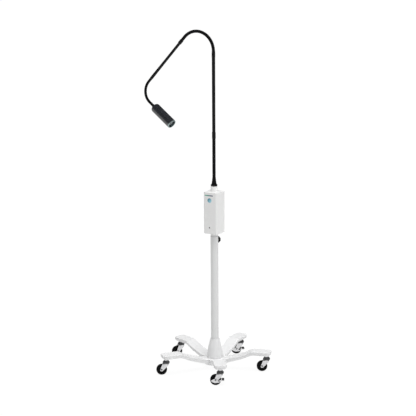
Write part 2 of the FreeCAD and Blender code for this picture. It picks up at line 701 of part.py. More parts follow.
def head_housing():
    along = V(1, 0, 0)
    barrel_length = HEAD_LENGTH - HEAD_RING_LENGTH
    barrel = cylinder(HEAD_R, V(0, 0, 0), along, barrel_length)
    barrel = barrel.makeFillet(HEAD_SHOULDER_R, [e for e in barrel.Edges if e.CenterOfMass.x < 0.1])
    bush = cylinder(8, V(SOCKET_START - HEAD_SOCKET, 0, 0), along, HEAD_SOCKET)
    solid = fused(barrel, bush)
    solid = solid.cut(cylinder(HEAD_R - HEAD_WALL, V(14, 0, 0), along, HEAD_LENGTH))
    return solid.cut(joint_socket(V(-HEAD_SOCKET, 0, 0)))


def front_ring():
    along = V(1, 0, 0)
    start = HEAD_LENGTH - HEAD_RING_LENGTH
    ring = cylinder(HEAD_RING_R, V(start, 0, 0), along, HEAD_RING_LENGTH)
    ring = ring.makeFillet(1.2, [e for e in ring.Edges if e.CenterOfMass.x > HEAD_LENGTH - 0.1])
    spigot = cylinder(HEAD_R - HEAD_WALL, V(start - 5.5, 0, 0), along, 5.5)
    return fused(ring, spigot).cut(cylinder(LENS_APERTURE_R, V(0, 0, 0), along, HEAD_LENGTH + 1))


def condenser_lens():
    """A plano-convex lens whose dome stands inside the front ring."""
    along = V(1, 0, 0)
    back = HEAD_LENGTH - 16
    flat = cylinder(HEAD_R - HEAD_WALL - 0.6, V(back, 0, 0), along, 4.9)
    dome_r = 24
    dome = Part.makeSphere(dome_r, V(back + 12.4 - dome_r, 0, 0))
    dome = dome.common(cylinder(LENS_APERTURE_R - 0.2, V(back, 0, 0), along, 20))
    return fused(flat, dome)


def led_module():
    along = V(1, 0, 0)
    plate = cylinder(13, V(92, 0, 0), along, 3)
    emitter = block(95, 97, -4, 4, -4, 4)
    return fused(plate, emitter)


def heat_sink():
    along = V(1, 0, 0)
    core = cylinder(9, V(16, 0, 0), along, 76)
    fins = [tube(HEAD_R - HEAD_WALL - 0.1, 8.9, V(20 + 6.7 * k, 0, 0), along, 3) for k in range(11)]
    return fused(core, *fins)


def write_base():
    save("base_spider", base_spider())
    save("hub_shroud", hub_shroud())
    save("outer_pole", outer_pole())
    save("pole_foot_bolt", *pole_foot_bolt())
    save("pole_collar", pole_collar())
    save("clamp_knob", clamp_knob())
    save("clamp_stud", clamp_stud())


def write_casters():
    save("caster_stems", *[placed_caster(name, caster_stem()) for name in CASTERS])
    save("raceway_caps", *[placed_caster(name, raceway_cap()) for name in CASTERS])
    for name in CASTERS:
        braked = name in BRAKED
        save("caster_fork_" + name, placed_caster(name, caster_fork()))
        save("caster_axle_" + name, placed_caster(name, caster_axle(braked)))
        save("wheel_core_" + name, placed_caster(name, wheel_core()))
        save("wheel_tyre_" + name, placed_caster(name, wheel_tyre()))
        if braked:
            save("brake_lever_" + name, placed_caster(name, brake_lever()))


def write_mast():
    save("inner_pole", inner_pole())
    save("pole_bracket", pole_bracket())
    save("front_housing", front_housing())
    save("back_cover", back_cover())
    save("cover_screws", *cover_screws())
    save("sensor_window", sensor_window())
    save("indicator_lens", indicator_lens())
    save("control_board", control_board())
    save("power_supply", power_supply())
    save("mains_inlet", mains_inlet())
    save("top_boss", top_boss())
    save("gland_nut", gland_nut())
    save("strain_relief", strain_relief())


def write_neck():
    save("lower_flex", lower_flex())
    save("ferrule", ferrule())
    save("lower_tube", lower_tube())
    for index in range(LINKS):
        save("middle_flex_%d" % (index + 1), middle_flex(index))
        save("head_flex_%d" % (index + 1), head_flex(index))
    save("neck_collar", neck_collar())
    save("upper_tube", upper_tube())


def write_head():
    save("head_housing", placed_head(head_housing()))
    save("front_ring", placed_head(front_ring()))
    save("condenser_lens", placed_head(condenser_lens()))
    save("led_module", placed_head(led_module()))
    save("heat_sink", placed_head(heat_sink()))


os.makedirs(OUT, exist_ok=True)
write_base()
write_casters()
write_mast()
write_neck()
write_head()
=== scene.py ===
"""Looks of the mobile examination light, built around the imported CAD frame. Metres, +Z up."""

import json
import math

import bmesh
import bpy
from mathutils import Matrix, Vector

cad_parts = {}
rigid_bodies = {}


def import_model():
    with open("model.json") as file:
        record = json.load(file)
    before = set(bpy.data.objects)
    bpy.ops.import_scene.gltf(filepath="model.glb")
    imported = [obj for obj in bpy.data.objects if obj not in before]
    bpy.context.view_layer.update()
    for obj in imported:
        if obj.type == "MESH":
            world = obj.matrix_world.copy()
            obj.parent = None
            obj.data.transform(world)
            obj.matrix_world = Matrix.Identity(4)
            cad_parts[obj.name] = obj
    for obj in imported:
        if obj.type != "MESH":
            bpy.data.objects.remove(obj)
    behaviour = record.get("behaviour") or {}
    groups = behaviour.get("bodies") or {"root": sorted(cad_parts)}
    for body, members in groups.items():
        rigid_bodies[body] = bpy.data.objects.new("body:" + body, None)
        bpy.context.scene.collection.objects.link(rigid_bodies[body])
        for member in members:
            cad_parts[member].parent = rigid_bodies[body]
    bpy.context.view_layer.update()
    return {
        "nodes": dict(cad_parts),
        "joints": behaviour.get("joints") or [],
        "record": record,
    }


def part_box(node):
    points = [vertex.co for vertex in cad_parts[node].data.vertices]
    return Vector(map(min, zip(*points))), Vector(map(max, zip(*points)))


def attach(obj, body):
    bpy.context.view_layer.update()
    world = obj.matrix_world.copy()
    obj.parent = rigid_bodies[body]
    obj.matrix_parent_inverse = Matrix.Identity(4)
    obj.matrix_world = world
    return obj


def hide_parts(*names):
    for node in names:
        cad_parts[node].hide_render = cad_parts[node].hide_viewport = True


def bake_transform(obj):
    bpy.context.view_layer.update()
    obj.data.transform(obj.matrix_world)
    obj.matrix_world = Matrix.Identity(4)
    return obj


MM = 0.001
UP = Vector((0, 0, 1))
TAU = 2 * math.pi
NOISE_ROUGHNESS = 0.55

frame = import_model()
joints = {j["name"]: j for j in frame["joints"]}


# ---------------------------------------------------------------- materials

def new_material(name, color, roughness, metallic=0.0, coat=0.0, coat_roughness=0.1, specular=0.5):
    """A Principled material whose even values sit on the shader's own sockets."""
    material = bpy.data.materials.new(name)
    material.use_nodes = True
    shader = material.node_tree.nodes["Principled BSDF"]
    shader.inputs["Base Color"].default_value = (*color, 1)
    shader.inputs["Roughness"].default_value = roughness
    shader.inputs["Metallic"].default_value = metallic
    shader.inputs["Coat Weight"].default_value = coat
    shader.inputs["Coat Roughness"].default_value = coat_roughness
    shader.inputs["Specular IOR Level"].default_value = specular
    return material


def add_node(material, kind, **inputs):
    node = material.node_tree.nodes.new(kind)
    for key, value in inputs.items():
        node.inputs[key.replace("_", " ")].default_value = value
    return node


def link(material, source, target):
    material.node_tree.links.new(source, target)


def coordinates(material):
    """The object's own coordinates, in metres."""
    return material.node_tree.nodes.new("ShaderNodeTexCoord").outputs["Object"]


def noise(material, scale, detail):
    node = add_node(material, "ShaderNodeTexNoise", Scale=scale, Detail=detail, Roughness=NOISE_ROUGHNESS)
    link(material, coordinates(material), node.inputs["Vector"])
    return node.outputs["Fac"]


def spread(material, factor, low, high, start=0.3, end=0.7):
    """Maps a 0..1 factor to low..high."""
    node = add_node(material, "ShaderNodeMapRange")
    values = {"From Min": start, "From Max": end, "To Min": low, "To Max": high}
    for key, value in values.items():
        node.inputs[key].default_value = value
    link(material, factor, node.inputs["Value"])
    return node.outputs["Result"]


def mixed_color(material, factor, first, second):
    node = material.node_tree.nodes.new("ShaderNodeMix")
    node.data_type = "RGBA"
    link(material, factor, node.inputs["Factor"])
    for socket, value in (("A", first), ("B", second)):
        colors = [i for i in node.inputs if i.name == socket and i.type == "RGBA"]
        if isinstance(value, bpy.types.NodeSocket):
            link(material, value, colors[0])
        else:
            colors[0].default_value = (*value, 1)
    return [o for o in node.outputs if o.type == "RGBA"][0]


def use(material, socket, value):
    link(material, value, material.node_tree.nodes["Principled BSDF"].inputs[socket])


def bumps(material, heights):
    """Chains bump nodes: each (factor, strength, distance in metres)."""
    normal = None
    for factor, strength, distance in heights:
        node = add_node(material, "ShaderNodeBump", Strength=strength, Distance=distance)
        link(material, factor, node.inputs["Height"])
        if normal is not None:
            link(material, normal, node.inputs["Normal"])
        normal = node.outputs["Normal"]
    use(material, "Normal", normal)


def tone(color, by):
    return tuple(min(1.0, c * by) for c in color)


def cloudy(material, factor, first, second, start=0.3, end=0.7):
    """Lets the base colour drift between two colours."""
    share = spread(material, factor, 0, 1, start, end)
    use(material, "Base Color", mixed_color(material, share, first, second))


def varied_gloss(material, factor, low, high):
    use(material, "Roughness", spread(material, factor, low, high))


def powder_coat(name, color, roughness=0.38, peel=1.0, dirt=0.985, specular=0.5):
    """Sprayed and baked coating: faint orange peel and cloudy gloss."""
    material = new_material(name, color, roughness, coat=0.15 * specular, coat_roughness=0.25,
                            specular=specular)
    cloudy(material, noise(material, 9, 4), tone(color, dirt), color)
    varied_gloss(material, noise(material, 60, 4), roughness - 0.05, roughness + 0.07)
    bumps(material, [(noise(material, 520, 2), 0.10 * peel, 0.0004),
                     (noise(material, 2600, 2), 0.05, 0.0001)])
    return material


def moulded(name, color, roughness=0.5, grain=1900, depth=0.22, mottle=0.975, specular=0.5):
    """Injection-moulded plastic with a fine spark-eroded grain."""
    material = new_material(name, color, roughness, specular=specular)
    cells = add_node(material, "ShaderNodeTexVoronoi", Scale=grain)
    link(material, coordinates(material), cells.inputs["Vector"])
    cloudy(material, noise(material, 26, 3), tone(color, mottle), color)
    varied_gloss(material, noise(material, 140, 3), roughness - 0.05, roughness + 0.06)
    bumps(material, [(cells.outputs["Distance"], depth, 0.00012), (noise(material, 300, 2), 0.05, 0.0003)])
    return material


def plated(name, color, roughness, scratch=0.12):
    """Zinc-plated or drawn metal: soft patches, hairline scratches and varied gloss."""
    material = new_material(name, color, roughness, metallic=1.0)
    patches = noise(material, 130, 3)
    hairline = noise(material, 700, 4)
    cloudy(material, patches, tone(color, 0.82), color)
    varied_gloss(material, hairline, roughness - 0.07, roughness + 0.12)
    bumps(material, [(hairline, scratch, 0.00015), (patches, 0.05, 0.0006)])
    return material


def rubber(name, color, roughness=0.62, grain=1500, worn=1.5, specular=0.15):
    """Matt rubber, slightly greyed where it rubs."""
    material = new_material(name, color, roughness, specular=specular)
    rub = noise(material, 75, 5)
    cloudy(material, rub, color, tone(color, worn), 0.45, 0.75)
    varied_gloss(material, rub, roughness - 0.08, roughness + 0.1)
    bumps(material, [(noise(material, grain, 3), 0.25, 0.0002)])
    return material


def anodised(name, color, highlight, roughness):
    """Dark anodised and blasted metal."""
    material = new_material(name, color, roughness, specular=1.0)
    cloudy(material, noise(material, 45, 4), color, highlight)
    varied_gloss(material, noise(material, 900, 3), roughness - 0.06, roughness + 0.09)
    bumps(material, [(noise(material, 1700, 2), 0.14, 0.0002)])
    return material


def along(material, direction, start, end):
    """0..1 with the place along a direction of the object's own coordinates, from start to end in metres."""
    dot = material.node_tree.nodes.new("ShaderNodeVectorMath")
    dot.operation = "DOT_PRODUCT"
    dot.inputs[1].default_value = direction
    link(material, coordinates(material), dot.inputs[0])
    return spread(material, dot.outputs["Value"], 0, 1, start, end)


MATERIALS = {
    "base_paint": powder_coat("base_powder_coat", (0.75, 0.752, 0.755), 0.45, specular=0.25),
    "cover_plastic": moulded("shroud_plastic", (0.775, 0.777, 0.78), 0.4, 2400, 0.10),
    "pole_paint": powder_coat("pole_powder_coat", (0.71, 0.714, 0.714), 0.34, 0.8, specular=0.4),
    "collar_plastic": moulded("collar_plastic", (0.70, 0.705, 0.71), 0.4, 2400, 0.10),
    "bright_tube": powder_coat("inner_pole_coat", (0.71, 0.715, 0.72), 0.3, 0.5),
    "housing_plastic": moulded("housing_plastic", (0.825, 0.825, 0.82), 0.5, 1500, 0.30),
    "black_plastic": moulded("black_plastic", (0.0045, 0.0045, 0.005), 0.34, 1600, 0.25, 0.7, 0.16),
    "black_rubber": rubber("black_rubber", (0.0045, 0.0045, 0.005), specular=0.1),
    "flex_sleeve": rubber("flex_sleeve_rubber", (0.0045, 0.0045, 0.005), 0.5, worn=1.3, specular=0.09),
    "black_metal": powder_coat("black_satin_coat", (0.0045, 0.0045, 0.005), 0.36, 0.8, 0.75, 0.14),
    "head_metal": anodised("head_anodised", (0.009, 0.010, 0.013), (0.014, 0.016, 0.021), 0.28),
    "ring_metal": plated("front_ring_metal", (0.34, 0.41, 0.41), 0.32),
    "cast_metal": plated("cast_metal", (0.60, 0.61, 0.62), 0.42, scratch=0.25),
    "zinc_steel": plated("zinc_plated_steel", (0.74, 0.74, 0.75), 0.24),
    "wheel_core": moulded("wheel_core_plastic", (0.0035, 0.0035, 0.004), 0.38, 1500, 0.2, 0.75, 0.12),
    "wheel_tread": rubber("wheel_tread_rubber", (0.003, 0.003, 0.0033), 0.6, 1300, 1.8, 0.08),
    "blue_window": moulded("blue_window_plastic", (0.19, 0.50, 0.66), 0.16, 3000, 0.02, 0.9),
    "dark_window": moulded("smoked_lens_plastic", (0.004, 0.004, 0.005), 0.15, 3000, 0.02, 0.8, 0.2),
    "circuit_board": moulded("solder_mask", (0.01, 0.10, 0.045), 0.35, 500, 0.1, 0.7),
}


def graded_window(name, first, last, direction, start, end, roughness):
    """Printed plastic whose colour runs from one tint to another across the part."""
    material = moulded(name, last, roughness, 3000, 0.02, 0.9)
    far = mixed_color(material, spread(material, noise(material, 90, 3), 0, 1), tone(last, 0.94), last)
    use(material, "Base Color", mixed_color(material, along(material, direction, start, end), first, far))
    return material


def clear_glass(name, tint):
    """Clear moulded lens with the faint waviness of a pressed surface."""
    material = new_material(name, tint, 0.03, coat=0.4, coat_roughness=0.03)
    shader = material.node_tree.nodes["Principled BSDF"]
    shader.inputs["Transmission Weight"].default_value = 0.9
    shader.inputs["IOR"].default_value = 1.49
    wave = noise(material, 240, 2)
    cloudy(material, wave, tone(tint, 0.93), tint)
    bumps(material, [(wave, 0.04, 0.0003)])
    return material


MATERIALS["lens_glass"] = clear_glass("lens_glass", (0.36, 0.41, 0.45))

SLOT_OF = {s["node"]: s["material_slot"] for s in frame["record"]["subparts"]}


def paint(obj, slot_name, material=None):
    obj.data.materials.clear()
    obj.data.materials.append(material or MATERIALS[slot_name])


for node_name, node_object in frame["nodes"].items():
    paint(node_object, SLOT_OF[node_name])


# ---------------------------------------------------------------- mesh helpers

def piece(name, bm, slot_name, body=None, smooth_deg=35, material=None, bevel=0.0):
    """A mesh object in the row frame with its finish, smoothed below an angle, riding on a body."""
    bmesh.ops.recalc_face_normals(bm, faces=bm.faces)
    mesh = bpy.data.meshes.new(name)
    bm.to_mesh(mesh)
    bm.free()
    obj = bpy.data.objects.new(name, mesh)
    bpy.context.scene.collection.objects.link(obj)
    paint(obj, slot_name, material)
    if bevel:
        modifier = obj.modifiers.new("edge", "BEVEL")
        modifier.width = bevel
        modifier.segments = 3
        modifier.limit_method = "ANGLE"
        modifier.angle_limit = math.radians(smooth_deg)
        modifier.harden_normals = True
    for polygon in mesh.polygons:
        polygon.use_smooth = True
    mesh.set_sharp_from_angle(angle=math.radians(smooth_deg))
    if body:
        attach(obj, body)
    return obj


def placement(origin, axis, across=None):
    """A matrix whose Z is the axis and whose X is as near across as it can be."""
    z = Vector(axis).normalized()
    if across is None:
        across = (1, 0, 0) if abs(z.x) < 0.8 else (0, 1, 0)
    x = Vector(across)
    x = (x - z * x.dot(z)).normalized()
    y = z.cross(x)
    matrix = Matrix((x, y, z)).transposed().to_4x4()
    matrix.translation = Vector(origin)
    return matrix


def lathe(bm, profile, matrix, segments=64, shape=None):
    """Turns a profile of (radius, height) about Z. shape(angle, radius, height) may move each point."""
    rings = []
    for radius, height in profile:
        if radius < 1e-7:
            rings.append([bm.verts.new(matrix @ Vector((0, 0, height)))])
            continue
        ring = []
        for k in range(segments):
            angle = TAU * k / segments
            r, h = shape(angle, radius, height) if shape else (radius, height)
            ring.append(bm.verts.new(matrix @ Vector((r * math.cos(angle), r * math.sin(angle), h))))
        rings.append(ring)
    for below, above in zip(rings, rings[1:]):
        for k in range(segments):
            quad = [below[k % len(below)], below[(k + 1) % len(below)], above[(k + 1) % len(above)],
                    above[k % len(above)]]
            corners = [v for i, v in enumerate(quad) if v not in quad[:i]]
            if len(corners) > 2:
                bm.faces.new(corners)
    for ring, flip in ((rings[0], True), (rings[-1], False)):
        if len(ring) > 1:
            bm.faces.new(ring[::-1] if flip else ring)


def ring_lathe(bm, profile, matrix, segments=64, shape=None):
    """Turns a closed profile, so that the result is a ring with a bore."""
    loops = []
    for radius, height in profile:
        loop = []
        for k in range(segments):
            angle = TAU * k / segments
            r, h = shape(angle, radius, height) if shape else (radius, height)
            loop.append(bm.verts.new(matrix @ Vector((r * math.cos(angle), r * math.sin(angle), h))))
        loops.append(loop)
    for below, above in zip(loops, loops[1:] + loops[:1]):
        for k in range(segments):
            bm.faces.new((below[k], below[(k + 1) % segments], above[(k + 1) % segments], above[k]))


def plate(bm, outline, thickness, matrix):
    """A flat plate: an outline of (x, y) raised by thickness along Z."""
    low = [bm.verts.new(matrix @ Vector((x, y, 0))) for x, y in outline]
    high = [bm.verts.new(matrix @ Vector((x, y, thickness))) for x, y in outline]
    bm.faces.new(low[::-1])
    bm.faces.new(high)
    count = len(outline)
    for k in range(count):
        bm.faces.new((low[k], low[(k + 1) % count], high[(k + 1) % count], high[k]))


def rounded_outline(corners, steps=6):
    """Corners of (x, y, radius) to an outline with arcs."""
    outline = []
    count = len(corners)
    for k, (x, y, radius) in enumerate(corners):
        here = Vector((x, y))
        before = (Vector(corners[k - 1][:2]) - here).normalized()
        after = (Vector(corners[(k + 1) % count][:2]) - here).normalized()
        half = before.angle(after) / 2
        reach = radius / math.tan(half)
        centre = here + (before + after).normalized() * (radius / math.sin(half))
        first, last = here + before * reach - centre, here + after * reach - centre
        turn = first.angle_signed(last)
        for step in range(steps + 1):
            spun = first.copy()
            spun.rotate(Matrix.Rotation(-turn * step / steps, 2))
            outline.append(tuple(centre + spun))
    return outline


def in_metres(profile):
    return [(r * MM, h * MM) for r, h in profile]


def smoothstep(t):
    t = min(max(t, 0.0), 1.0)
    return t * t * (3 - 2 * t)


# ---------------------------------------------------------------- neck

LOWER_JOINT = Vector((0, 0, 1.050))
FERRULE_JOINT = Vector((0, 0, 1.154))
LOWER_TUBE_TOP = Vector((0, 0, 1.578))
MIDDLE = {"lead": 0.0, "radius": 0.0927, "turn": math.radians(137.1), "tail": 0.021}
COLLAR_LENGTH, UPPER_TUBE_LENGTH = 0.0224, 0.2414
HEAD_BEND = {"lead": 0.0245, "radius": 0.0662, "turn": math.radians(99.1), "tail": 0.031}
HEAD_TILT = math.radians(8.7)
SLEEVE_FOOT = -0.086            # from the lower joint
LOWER_SLEEVE_R, MIDDLE_SLEEVE_R, HEAD_SLEEVE_R = 0.0082, 0.0078, 0.0068
OVERLAP, HEAD_OVERLAP = 0.004, 0.005
CUFF, HEAD_CUFF = 0.006, 0.009
RIB_PITCH = 0.0026
RIB_DEPTH = 0.00032


class Line:
    """A straight, an arc and a straight. The arc bends from a direction towards a side."""

    def __init__(self, start, direction, side, lead, radius, turn, tail):
        self.start, self.direction, self.side = start, direction, side
        self.lead, self.radius, self.turn, self.tail = lead, radius, turn, tail
        self.length = lead + radius * turn + tail

    def at(self, s):
        """(point, direction, side) at a length along the line, which runs on straight past either end."""
        if s <= self.lead:
            return self.start + self.direction * s, self.direction, self.side
        angle = min((s - self.lead) / self.radius, self.turn)
        centre = self.start + self.direction * self.lead + self.side * self.radius
        out = self.direction * math.sin(angle) - self.side * math.cos(angle)
        direction = self.direction * math.cos(angle) + self.side * math.sin(angle)
        point = centre + out * self.radius
        past = max(s - self.lead - self.radius * self.turn, 0)
        return point + direction * past, direction, -out


def sleeve(bm, line, first, last, radius, cuff_start=0.0, cuff_end=0.0, segments=24):
    """A ribbed tube along a line. A cuff is a smooth, slightly wider stretch at an end."""
    step = RIB_PITCH / 8
    count = max(2, round((last - first) / step))
    rings = []
    for k in range(count + 1):
        s = first + (last - first) * k / count
        point, direction, side = line.at(s)
        other = direction.cross(side)
        if s < first + cuff_start or s > last - cuff_end:
            edge = min(s - first, last - s, 0.0008) / 0.0008
            r = radius + 0.0001 + 0.0005 * math.sqrt(max(edge, 0.0))
        else:
            r = radius - RIB_DEPTH * (0.5 - 0.5 * math.cos(TAU * s / RIB_PITCH)) ** 1.6
        rings.append([bm.verts.new(point + (side * math.cos(TAU * j / segments)
                                            + other * math.sin(TAU * j / segments)) * r)
                      for j in range(segments)])
    for below, above in zip(rings, rings[1:]):
        for j in range(segments):
            bm.faces.new((below[j], below[(j + 1) % segments], above[(j + 1) % segments], above[j]))
    bm.faces.new(rings[0][::-1])
    bm.faces.new(rings[-1])


def blended_sleeve(name, line, joint_name, first, at_joint, last, radius, nodes=(), **shape):
    """One sleeve across one joint, built in place and carried by no body."""
    bm = bmesh.new()
    sleeve(bm, line, first, last, radius, **shape)
    obj = piece(name, bm, "flex_sleeve", smooth_deg=60)
    point, direction, _ = line.at(at_joint)
    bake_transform(obj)
    if nodes:
        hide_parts(*nodes)


def ball_jointed_sleeve(name, line, joint_name, first, at_joint, last, radius):
    """Two rigid sleeves that meet in a ball at the joint, which closes the side that opens in a bend."""
    joint = joints[joint_name]
    bm = bmesh.new()
    sleeve(bm, line, first, at_joint, radius)
    ball_radius = radius - RIB_DEPTH
    arc = [math.pi * k / 16 for k in range(17)]
    lathe(bm, [(ball_radius * math.sin(a), -ball_radius * math.cos(a)) for a in arc],
          Matrix.Translation(line.at(at_joint)[0]), 24)
    piece(name + "a", bm, "flex_sleeve", joint["parent"], 60)
    bm = bmesh.new()
    sleeve(bm, line, at_joint, last, radius)
    piece(name + "b", bm, "flex_sleeve", joint["child"], 60)


TO_THE_SIDE = Vector((-1, 0, 0))
lower_line = Line(LOWER_JOINT, UP, TO_THE_SIDE, lead=0.3, radius=1.0, turn=0.0, tail=0.0)
ferrule_at = (FERRULE_JOINT - LOWER_JOINT).length
blended_sleeve("lower_sleeve_foot", lower_line, "lower_bend", SLEEVE_FOOT, 0.0, ferrule_at / 2,
               LOWER_SLEEVE_R, nodes=["lower_flex"])
blended_sleeve("lower_sleeve_top", lower_line, "lower_sway", ferrule_at / 2, ferrule_at, ferrule_at + OVERLAP,
               LOWER_SLEEVE_R)

middle_line = Line(LOWER_TUBE_TOP, UP, TO_THE_SIDE, **MIDDLE)
step = middle_line.length / 3
blended_sleeve("middle_sleeve_1", middle_line, "middle_sway", -OVERLAP, 0.0, step / 2, MIDDLE_SLEEVE_R,
               nodes=["middle_flex_1"], cuff_start=CUFF)
ball_jointed_sleeve("middle_sleeve_2", middle_line, "middle_bend", step / 2, step, step * 1.5,
                    MIDDLE_SLEEVE_R)
blended_sleeve("middle_sleeve_3", middle_line, "middle_bend_2", step * 1.5, step * 2, step * 2.5,
               MIDDLE_SLEEVE_R, nodes=["middle_flex_2"])
blended_sleeve("middle_sleeve_4", middle_line, "middle_bend_3", step * 2.5, step * 3, step * 3 + OVERLAP,
               MIDDLE_SLEEVE_R, nodes=["middle_flex_3"])

tube_start, tube_direction, tube_side = middle_line.at(middle_line.length)
head_start = tube_start + tube_direction * (COLLAR_LENGTH + UPPER_TUBE_LENGTH)
head_side = tube_side * math.cos(HEAD_TILT) + Vector((0, -1, 0)) * math.sin(HEAD_TILT)
head_line = Line(head_start, tube_direction, head_side, **HEAD_BEND)
step = head_line.length / 3
blended_sleeve("head_sleeve_1", head_line, "head_bend", -OVERLAP, 0.0, step / 2, HEAD_SLEEVE_R,
               nodes=["head_flex_1"], cuff_start=CUFF)
blended_sleeve("head_sleeve_2", head_line, "head_bend_2", step / 2, step, step * 1.5, HEAD_SLEEVE_R,
               nodes=["head_flex_2"])
blended_sleeve("head_sleeve_3", head_line, "head_bend_3", step * 1.5, step * 2, step * 2.5, HEAD_SLEEVE_R,
               nodes=["head_flex_3"])
blended_sleeve("head_sleeve_4", head_line, "head_sway", step * 2.5, step * 3, step * 3 + HEAD_OVERLAP,
               HEAD_SLEEVE_R, cuff_end=HEAD_CUFF)


# ---------------------------------------------------------------- boot, knob, stripe and bell cover

KNOB_Z = 0.652
FLUTES, FLUTE_DEPTH = 8, 0.0009
STRIPE_X = (-0.0295, 0.0165)
STRIPE_Z = (0.8808, 0.8856)
STRIPE_CORNER_R = 0.0022
STRIPE_INSET, STRIPE_THICKNESS = 0.0001, 0.00025


def neck_boot():
    """The flared rubber boot with shallow rings, and the core that the sleeve above it is drawn over."""
    profile = [(0, 934), (12, 934), (12.4, 934.4), (12.3, 936.2), (11.8, 939)]
    for radius, z in ((11.4, 942), (10.95, 945.4), (10.5, 948.8), (10.05, 952.2)):
        profile += [(radius, z), (radius - 0.55, z + 0.5), (radius - 0.6, z + 1.1), (radius - 0.2, z + 1.6)]
    profile += [(9.6, 956), (9, 960.5), (8.75, 963.5), (8.6, 966), (8.3, 967), (7.5, 967.2), (7.5, 1045),
                (0, 1045)]
    bm = bmesh.new()
    lathe(bm, in_metres(profile), Matrix.Identity(4), 48)
    obj = piece("neck_boot", bm, "black_rubber", "mast", 45)
    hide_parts("strain_relief")


def knob():
    """A domed grip with eight shallow flutes."""
    profile = [(0, 24), (8, 24), (8, 25.4), (15.2, 25.5), (16.6, 26.2), (17, 27.4), (17, 31.4), (16.7, 33),
               (15.9, 35.2), (14.6, 37.4), (12.8, 39.2), (11.2, 40), (10, 40.2), (9.2, 39.8), (8.6, 39.9),
               (6, 40.4), (3, 40.5), (0, 40.5)]

    def fluted(angle, radius, height):
        grip = smoothstep((radius - 0.0105) / 0.004)
        return radius - grip * FLUTE_DEPTH * (0.5 + 0.5 * math.cos(FLUTES * angle)) ** 3, height

    bm = bmesh.new()
    lathe(bm, in_metres(profile), placement((0, 0, KNOB_Z), (0, 1, 0)), 128, fluted)
    obj = piece("knob_grip", bm, "black_plastic", "clamp_knob", 50)
    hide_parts("clamp_knob")


def front_stripe():
    """A plain printed bar near the top of the box's front face."""
    face_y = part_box("front_housing")[0][1]
    (left, right), (bottom, top) = STRIPE_X, STRIPE_Z
    corners = ((left, bottom), (left, top), (right, top), (right, bottom))
    outline = rounded_outline([(x, z, STRIPE_CORNER_R) for x, z in corners])
    bm = bmesh.new()
    stand = Matrix(((1, 0, 0, 0), (0, 0, -1, face_y + STRIPE_INSET), (0, 1, 0, 0), (0, 0, 0, 1)))
    plate(bm, outline, STRIPE_THICKNESS, stand)
    green, navy = (0.10, 0.38, 0.27), (0.035, 0.04, 0.12)
    print_tint = graded_window("stripe_print", green, navy, (1, 0, 0), -0.018, 0.004, 0.4)
    piece("front_stripe", bm, "blue_window", "mast", 30, print_tint)


def bell_cover():
    """The bell cover over the pole's foot, with a rolled lip on top and a short straight skirt."""
    top, middle, foot = Vector((22.5, 151.2)), Vector((33.2, 105)), Vector((38.7, 57.5))
    control = 2 * middle - (top + foot) / 2
    flank = [top.lerp(control, t / 16).lerp(control.lerp(foot, t / 16), t / 16) for t in range(17)]
    lip = [(19.4, 153.2), (20, 153.5), (22.0, 153.5), (22.6, 153.1), (22.8, 152.5), (22.7, 151.8),
           (22.2, 151.5)]
    skirt_and_inside = [(38.7, 56), (38.3, 55.7), (36.8, 55.7), (31.2, 104), (19.5, 151)]
    bm = bmesh.new()
    ring_lathe(bm, in_metres(lip + flank + skirt_and_inside), Matrix.Identity(4), 96)
    obj = piece("hub_bell", bm, "cover_plastic", "base", 40)
    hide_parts("hub_shroud")


def pole_shade_ring():
    """A thin black ring between the fixed pole and the collar: painted shade for the dark line where the
    collar meets the top of the pole.
    """
    profile = [(16.4, 674.3), (18.2, 674.3), (18.7, 674.5), (18.7, 675.1), (18.2, 675.3), (16.4, 675.3)]
    bm = bmesh.new()
    ring_lathe(bm, in_metres(profile), Matrix.Identity(4), 64)
    piece("pole_shade_ring", bm, "black_rubber", "base", 40)


neck_boot()
knob()
front_stripe()
bell_cover()
pole_shade_ring()
paint(frame["nodes"]["top_boss"], "housing_plastic",
      moulded("boss_plastic", (0.90, 0.90, 0.895), 0.45, 1500, 0.2))
paint(frame["nodes"]["sensor_window"], "blue_window",
      graded_window("sensor_print", (0.07, 0.25, 0.32), (0.36, 0.66, 0.78), (0.75, 0, -0.66), -0.5775,
                    -0.5600, 0.16))


# ---------------------------------------------------------------- casters, in millimetres in their own frame

CASTERS = ["front_right", "right", "back", "left", "front_left"]
BRAKED = ["front_right", "back"]
AXLE = (22.5, 0, 26.5)
SIXTH = TAU / 6
FORK_OUT = 14.0                 # half the width over the cheeks
LEVER_IN, LEVER_OUT = 14.3, 15.8
BRAKED_GRIP = 16.1              # half the length under the axle's head and nut
NUT_HALF_FLATS = 4.75
PEDAL_END_X, PAD_TOP_Z = -18.6, 29.4


def caster_frame(name):
    """Millimetres with +X trailing, +Y along the axle and the origin on the floor under the stem."""
    stem = Vector(joints["swivel_" + name]["pos_m"])
    axle = Vector(joints["roll_" + name]["axis"])
    matrix = Matrix((axle.cross(UP), axle, UP)).transposed().to_4x4()
    matrix.translation = (stem.x, stem.y, 0)
    return matrix @ Matrix.Scale(MM, 4)


def flipped_y(profile):
    """A side profile of (radius, y) and its mirror image, as one closed profile."""
    return profile + [(r, -h) for r, h in reversed(profile)]


def upright_plate(bm, outline, y_from, y_to, frame_matrix):
    """A plate standing in the XZ plane between two Y values."""
    stand = Matrix(((1, 0, 0, 0), (0, 0, -1, y_to), (0, 1, 0, 0), (0, 0, 0, 1)))
    plate(bm, outline, y_to - y_from, frame_matrix @ stand)


def cut_to(obj, cutter, operation):
    """The mesh of a boolean of two helper objects, which are removed."""
    modifier = obj.modifiers.new("cut", "BOOLEAN")
    modifier.operation = operation
    modifier.object = cutter
    graph = bpy.context.evaluated_depsgraph_get()
    mesh = bpy.data.meshes.new_from_object(obj.evaluated_get(graph))
    bpy.data.objects.remove(obj)
    bpy.data.objects.remove(cutter)
    return mesh


